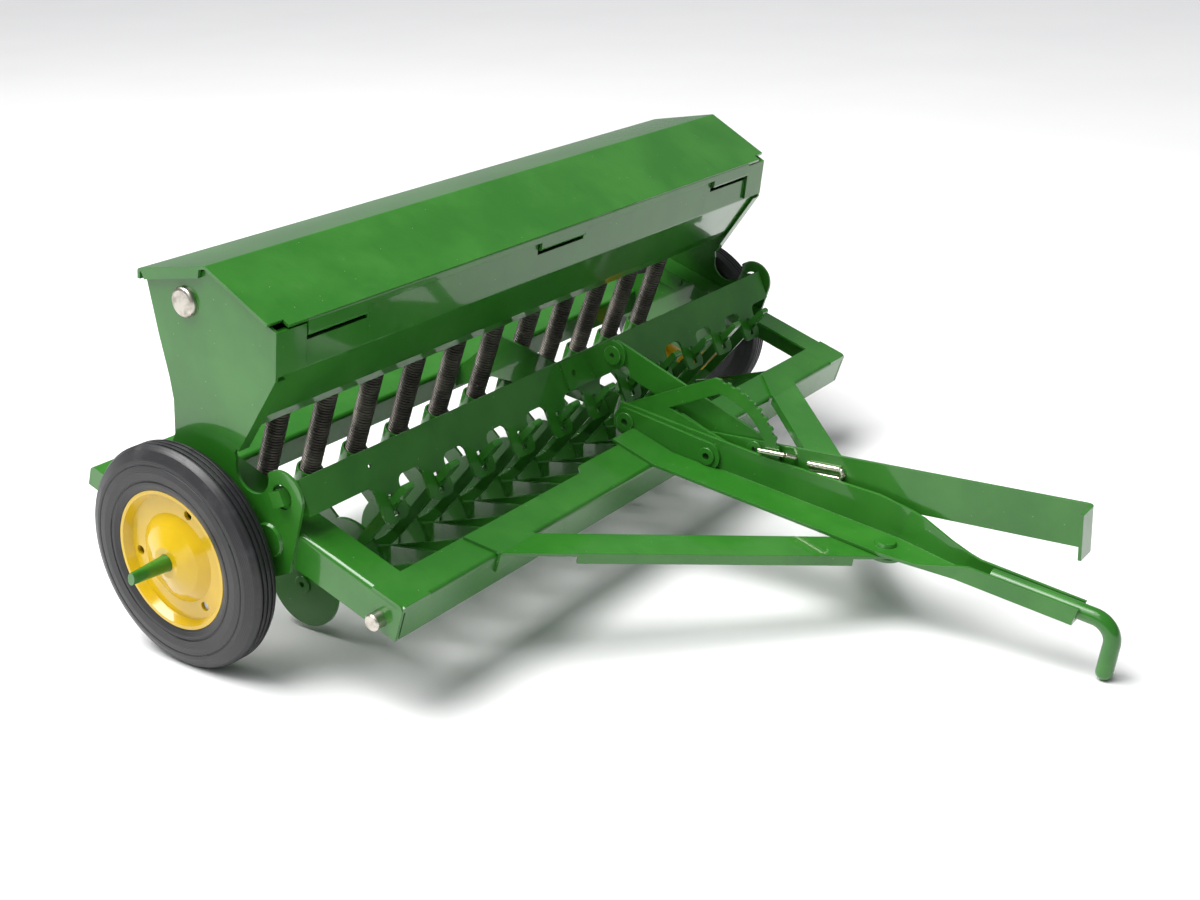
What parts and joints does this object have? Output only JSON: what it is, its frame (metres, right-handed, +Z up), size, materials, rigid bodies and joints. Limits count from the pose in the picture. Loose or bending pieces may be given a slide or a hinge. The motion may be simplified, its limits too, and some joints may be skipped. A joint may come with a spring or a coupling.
{
  "type": "toy grain drill",
  "caption": "Pressed-steel toy seed drill with a lidded hopper, spring seed tubes, disc openers raised by a hand lever, and two rubber-tyred wheels.",
  "frame": {"origin": "on the floor, at the middle of the part's bounding box seen from above", "axes": "+X to the right of the machine as seen from the front, towards its lever side's far wheel; -Y towards the hitch; +Z up. The part stands nose-down by 19 degrees on its two tyres and the tip of its hitch hook"},
  "size_m": [0.281, 0.2476, 0.1091],
  "materials": {
    "green_paint": "gloss enamel",
    "yellow_paint": "gloss enamel",
    "bare_steel": "dull plated steel",
    "dark_coil": "dark oiled steel wire",
    "black_rubber": "satin rubber"
  },
  "bodies": {
    "chassis": {"main_frame": "green_paint", "pivot_rod": "bare_steel", "hopper_shell": "green_paint", "end_panel_left": "green_paint", "end_panel_right": "green_paint", "panel_rivets": "green_paint", "hopper_tie_rod": "bare_steel", "rear_crossbar": "green_paint", "footboard": "green_paint", "tongue": "green_paint", "hitch_hook": "green_paint", "quadrant": "green_paint", "stay_strap": "green_paint", "centre_plate": "green_paint", "brace_left": "green_paint", "brace_right": "green_paint", "brace_rivet": "green_paint", "lever_eyelet": "green_paint", "lever_washer": "green_paint", "stay_eyelet": "green_paint", "axle_stub_left": "green_paint", "axle_stub_right": "green_paint", "axle_washers": "green_paint", "seed_tubes": "dark_coil"},
    "lid": {"lid": "green_paint"},
    "wheel_left": {"wheel_left": "yellow_paint", "tyre_left": "black_rubber"},
    "wheel_right": {"wheel_right": "yellow_paint", "tyre_right": "black_rubber"},
    "lever": {"hand_lever": "green_paint", "latch_wire": "bare_steel", "lever_pin": "green_paint"},
    "link": {"lift_link": "green_paint", "link_eyelet": "green_paint"},
    "lift": {"lift_plate": "green_paint", "lift_bracket": "green_paint"},
    "openers": {"drag_arm_1": "green_paint", "drag_arm_2": "green_paint", "drag_arm_3": "green_paint", "drag_arm_4": "green_paint", "drag_arm_5": "green_paint", "drag_arm_6": "green_paint", "drag_arm_7": "green_paint", "drag_arm_8": "green_paint", "drag_arm_9": "green_paint", "drag_arm_10": "green_paint", "drag_arm_11": "green_paint", "opener_discs": "green_paint", "opener_boots": "green_paint", "lift_straps": "green_paint", "opener_eyelets": "green_paint"}
  },
  "joints": [
    {"name": "lid_hinge", "type": "hinge", "parent": "chassis", "child": "lid", "pos_m": [0, 0.05083, 0.09244], "axis": [1, 0, 0], "range_deg": [0, 100]},
    {"name": "wheel_left_spin", "type": "hinge", "parent": "chassis", "child": "wheel_left", "pos_m": [-0.1233, 0.0838, 0.031], "axis": [1, 0, 0], "continuous": true},
    {"name": "wheel_right_spin", "type": "hinge", "parent": "chassis", "child": "wheel_right", "pos_m": [0.1233, 0.0838, 0.031], "axis": [1, 0, 0], "continuous": true},
    {"name": "lever_pivot", "type": "hinge", "parent": "chassis", "child": "lever", "pos_m": [0.00855, 0.00266, 0.03352], "axis": [-1, 0, 0], "range_deg": [0, 20]},
    {"name": "link_front_pivot", "type": "hinge", "parent": "lever", "child": "link", "pos_m": [0.00975, -0.01142, 0.03756], "axis": [1, 0, 0], "range_deg": [0, 19.7]},
    {"name": "lift_shaft", "type": "hinge", "parent": "chassis", "child": "lift", "pos_m": [0, 0.05238, 0.05223], "axis": [-1, 0, 0], "range_deg": [0, 18.4]},
    {"name": "opener_pivot", "type": "hinge", "parent": "chassis", "child": "openers", "pos_m": [0, 0.023, 0.02635], "axis": [1, 0, 0], "range_deg": [0, 10.4], "deforming": ["seed_tubes"]}
  ],
  "couplings": [
    {"joint": "link_front_pivot", "follows": "lever_pivot", "ratio": 0.984},
    {"joint": "lift_shaft", "follows": "lever_pivot", "ratio": 0.918},
    {"joint": "opener_pivot", "follows": "lever_pivot", "ratio": 0.517}
  ]
}
